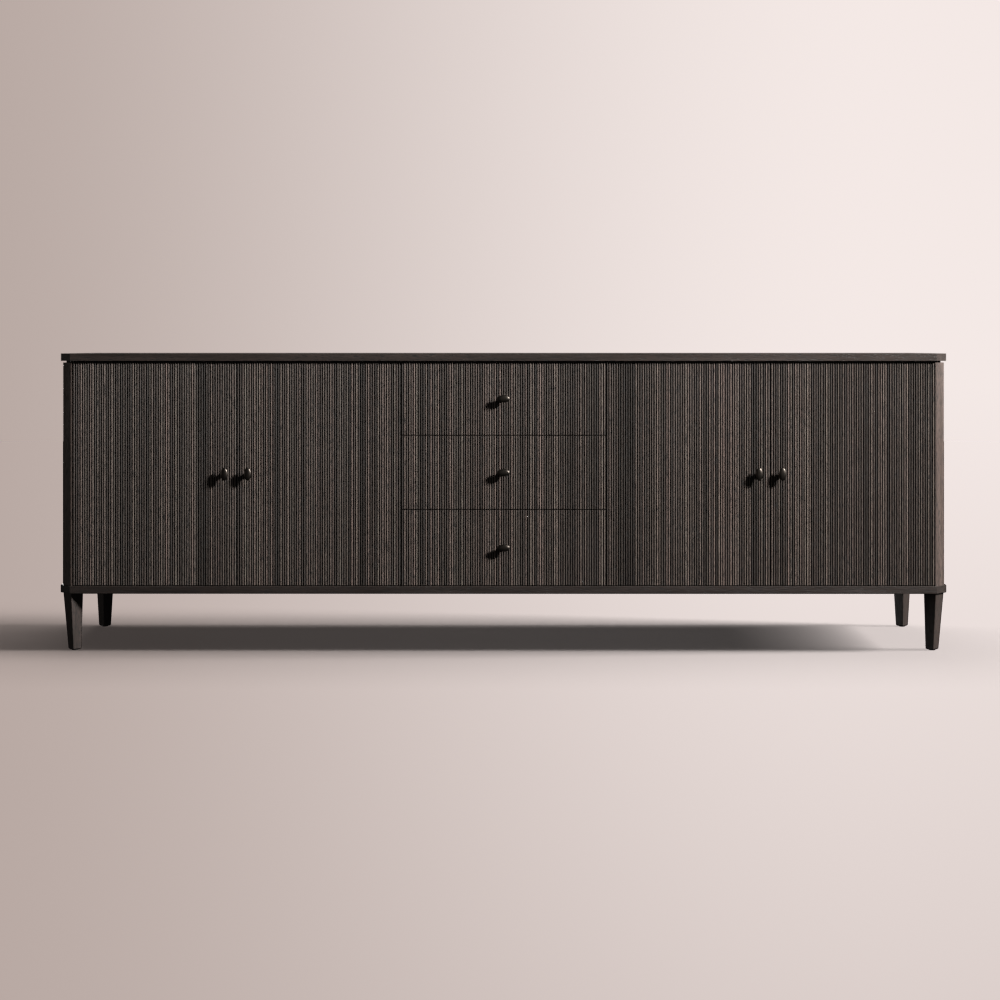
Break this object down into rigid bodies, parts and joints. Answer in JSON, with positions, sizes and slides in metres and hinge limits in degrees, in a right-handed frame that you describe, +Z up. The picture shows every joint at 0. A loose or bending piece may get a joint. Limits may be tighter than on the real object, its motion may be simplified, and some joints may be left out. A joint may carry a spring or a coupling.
{
  "type": "sideboard buffet",
  "caption": "Long low sideboard with fine vertical reeding: two pairs of hinged doors beside a stack of sliding drawers, on tapered legs set diagonally.",
  "frame": {"origin": "on the floor under the middle of the whole object, knobs included", "axes": "+X along the length to the right seen from the front, -Y to the front, +Z up"},
  "size_m": [2.44, 0.52, 0.817],
  "materials": {
    "stained_oak": "dark charcoal brown stain, satin, brushed grain",
    "stained_oak_reeded": "dark charcoal brown stain, satin, reeded",
    "case_interior": "dark stained veneer, satin",
    "back_board": "dark stained thin board, matt",
    "drawer_wood": "clear lacquered mid brown wood",
    "black_paint": "matt black painted board",
    "bronze": "dark patinated bronze, satin",
    "steel": "zinc plated steel",
    "brass_fittings": "turned brass bushes and plated strikes",
    "glide_plastic": "black nylon",
    "catch_plastic": "dark brown plastic with magnets"
  },
  "bodies": {
    "root": {"back_panel_centre": "back_board", "back_panel_left": "back_board", "back_panel_right": "back_board", "base_board": "stained_oak", "door_catches": "catch_plastic", "drawer_case_rails": "steel", "leg_bolts": "steel", "leg_front_left": "stained_oak", "leg_front_right": "stained_oak", "leg_glides": "glide_plastic", "leg_rear_left": "stained_oak", "leg_rear_right": "stained_oak", "partition_left": "case_interior", "partition_right": "case_interior", "pivot_plates_bottom": "steel", "pivot_plates_top": "steel", "post_front_left": "stained_oak", "post_front_right": "stained_oak", "post_rear_left": "stained_oak", "post_rear_right": "stained_oak", "shelf_left": "case_interior", "shelf_pins": "steel", "shelf_right": "case_interior", "side_left": "stained_oak", "side_right": "stained_oak", "sub_top": "case_interior", "top_panel": "stained_oak", "top_spacer": "black_paint"},
    "door_1": {"door_1_core": "case_interior", "door_1_facing": "stained_oak_reeded", "door_1_fittings": "brass_fittings", "door_1_knob": "bronze"},
    "door_2": {"door_2_core": "case_interior", "door_2_facing": "stained_oak_reeded", "door_2_fittings": "brass_fittings", "door_2_knob": "bronze"},
    "door_3": {"door_3_core": "case_interior", "door_3_facing": "stained_oak_reeded", "door_3_fittings": "brass_fittings", "door_3_knob": "bronze"},
    "door_4": {"door_4_core": "case_interior", "door_4_facing": "stained_oak_reeded", "door_4_fittings": "brass_fittings", "door_4_knob": "bronze"},
    "drawer_1": {"drawer_1_box": "drawer_wood", "drawer_1_facing": "stained_oak_reeded", "drawer_1_front_board": "case_interior", "drawer_1_knob": "bronze", "drawer_1_rails": "steel"},
    "drawer_2": {"drawer_2_box": "drawer_wood", "drawer_2_facing": "stained_oak_reeded", "drawer_2_front_board": "case_interior", "drawer_2_knob": "bronze", "drawer_2_rails": "steel"},
    "drawer_3": {"drawer_3_box": "drawer_wood", "drawer_3_facing": "stained_oak_reeded", "drawer_3_front_board": "case_interior", "drawer_3_knob": "bronze", "drawer_3_rails": "steel"}
  },
  "joints": [
    {"name": "door_1_hinge", "type": "hinge", "parent": "root", "child": "door_1", "pos_m": [-1.1641, -0.235, 0.181], "axis": [0, 0, -1], "range_deg": [0, 110]},
    {"name": "door_2_hinge", "type": "hinge", "parent": "root", "child": "door_2", "pos_m": [-0.3003, -0.235, 0.181], "axis": [0, 0, 1], "range_deg": [0, 90]},
    {"name": "door_3_hinge", "type": "hinge", "parent": "root", "child": "door_3", "pos_m": [0.3003, -0.235, 0.181], "axis": [0, 0, -1], "range_deg": [0, 90]},
    {"name": "door_4_hinge", "type": "hinge", "parent": "root", "child": "door_4", "pos_m": [1.1641, -0.235, 0.181], "axis": [0, 0, 1], "range_deg": [0, 110]},
    {"name": "drawer_1_slide", "type": "slide", "parent": "root", "child": "drawer_1", "axis": [0, -1, 0], "range_m": [0, 0.3]},
    {"name": "drawer_2_slide", "type": "slide", "parent": "root", "child": "drawer_2", "axis": [0, -1, 0], "range_m": [0, 0.3]},
    {"name": "drawer_3_slide", "type": "slide", "parent": "root", "child": "drawer_3", "axis": [0, -1, 0], "range_m": [0, 0.3]}
  ]
}
